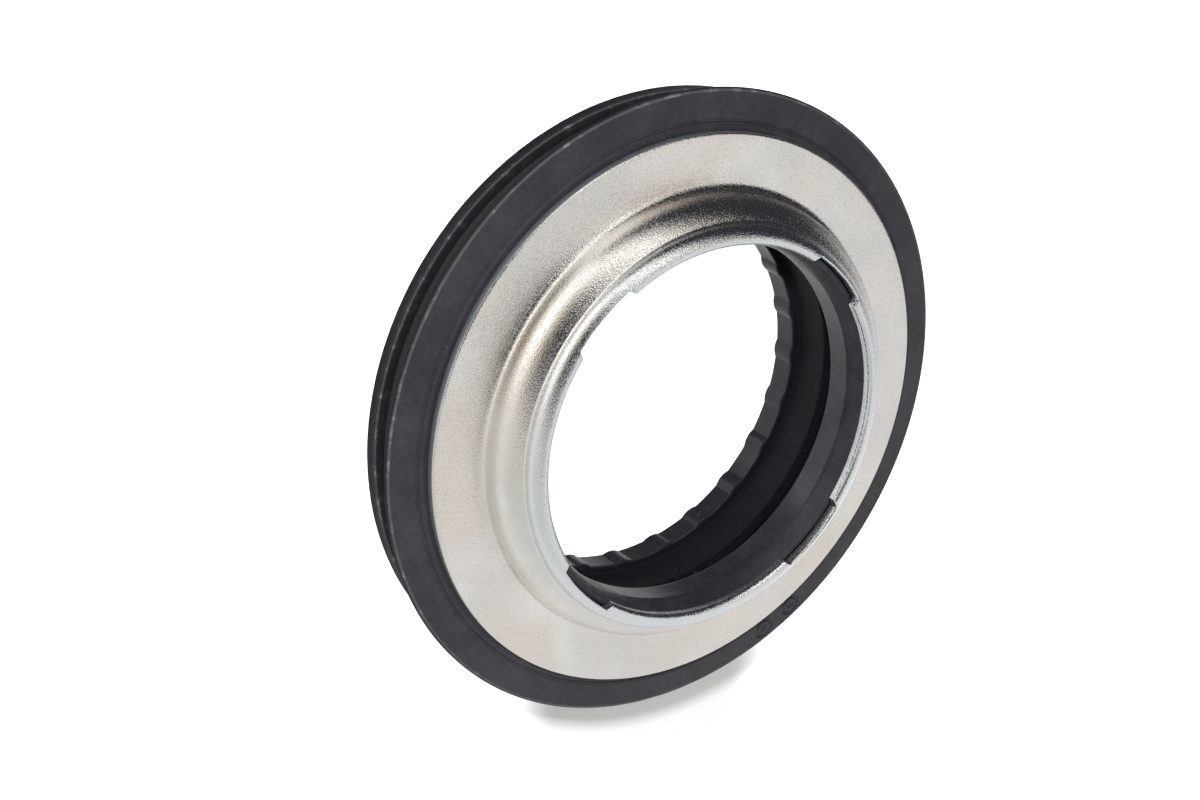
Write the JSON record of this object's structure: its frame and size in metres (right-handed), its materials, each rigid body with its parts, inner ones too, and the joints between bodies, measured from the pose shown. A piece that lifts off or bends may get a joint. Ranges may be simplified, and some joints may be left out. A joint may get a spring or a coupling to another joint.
{
  "type": "strut mount bearing",
  "caption": "Ring-shaped strut mount bearing: a plated steel spring seat with a notched lip, carried on a caged ball bearing between black plastic caps.",
  "frame": {"origin": "centre of the upper cap's end face, on the ring's axis", "axes": "+Z along the ring's axis from the upper cap's end face to the spring seat's crest, +X through the middle of a notch in the seat's lip"},
  "size_m": [0.12, 0.12, 0.029],
  "materials": {
    "black_plastic": "fine moulded grain",
    "zinc_steel": "satin zinc plating",
    "race_steel": "ground",
    "ball_steel": "polished",
    "cage_plastic": "natural nylon",
    "seal_rubber": "matte"
  },
  "bodies": {
    "upper": {"upper_cap": "black_plastic", "upper_race": "race_steel"},
    "rollers": {"ball_cage": "cage_plastic", "ball_01": "ball_steel", "ball_02": "ball_steel", "ball_03": "ball_steel", "ball_04": "ball_steel", "ball_05": "ball_steel", "ball_06": "ball_steel", "ball_07": "ball_steel", "ball_08": "ball_steel", "ball_09": "ball_steel", "ball_10": "ball_steel", "ball_11": "ball_steel", "ball_12": "ball_steel", "ball_13": "ball_steel", "ball_14": "ball_steel", "ball_15": "ball_steel", "ball_16": "ball_steel", "ball_17": "ball_steel", "ball_18": "ball_steel", "ball_19": "ball_steel", "ball_20": "ball_steel", "ball_21": "ball_steel", "ball_22": "ball_steel", "ball_23": "ball_steel", "ball_24": "ball_steel", "ball_25": "ball_steel", "ball_26": "ball_steel", "ball_27": "ball_steel", "ball_28": "ball_steel", "ball_29": "ball_steel", "ball_30": "ball_steel"},
    "lower": {"lower_cap": "black_plastic", "lower_race": "race_steel", "inner_seal": "seal_rubber", "outer_seal": "seal_rubber", "spring_seat": "zinc_steel"}
  },
  "joints": [
    {"name": "seat_spin", "type": "hinge", "parent": "upper", "child": "lower", "pos_m": [0, 0, 0.0102], "axis": [0, 0, 1], "continuous": true},
    {"name": "cage_spin", "type": "hinge", "parent": "upper", "child": "rollers", "pos_m": [0, 0, 0.0102], "axis": [0, 0, 1], "continuous": true}
  ],
  "couplings": [
    {"joint": "cage_spin", "follows": "seat_spin", "ratio": 0.5}
  ]
}
